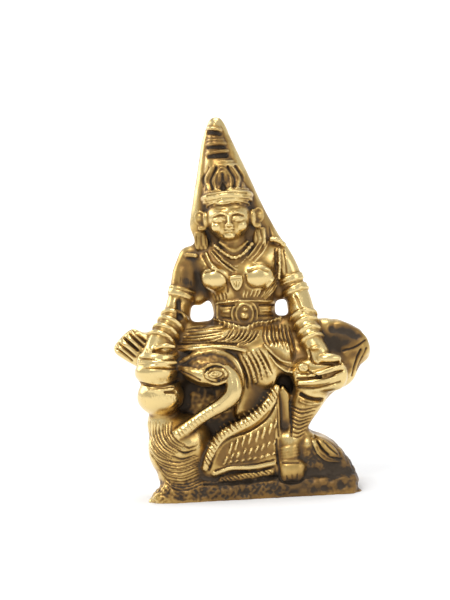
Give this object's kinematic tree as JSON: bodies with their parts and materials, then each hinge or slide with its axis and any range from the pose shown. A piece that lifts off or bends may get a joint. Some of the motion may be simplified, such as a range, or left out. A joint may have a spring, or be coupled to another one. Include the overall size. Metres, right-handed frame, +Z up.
{
  "type": "seated goddess statuette",
  "caption": "Small solid brass statuette of a seated goddess in a tall crown, hands on her knees, with a long-necked bird before her on a rough base.",
  "frame": {"origin": "on the flat underside of the base, under the middle of the seated body", "axes": "+Z up, the front of the statue faces -Y, +X to the viewer's right"},
  "size_m": [0.0517, 0.0224, 0.0758],
  "materials": {
    "brass": "cast brass, polished on the high points, brown in the hollows and dark on the rock and the bolster's end"
  },
  "bodies": {
    "root": {"lakshmi_statue": "brass"}
  },
  "joints": []
}
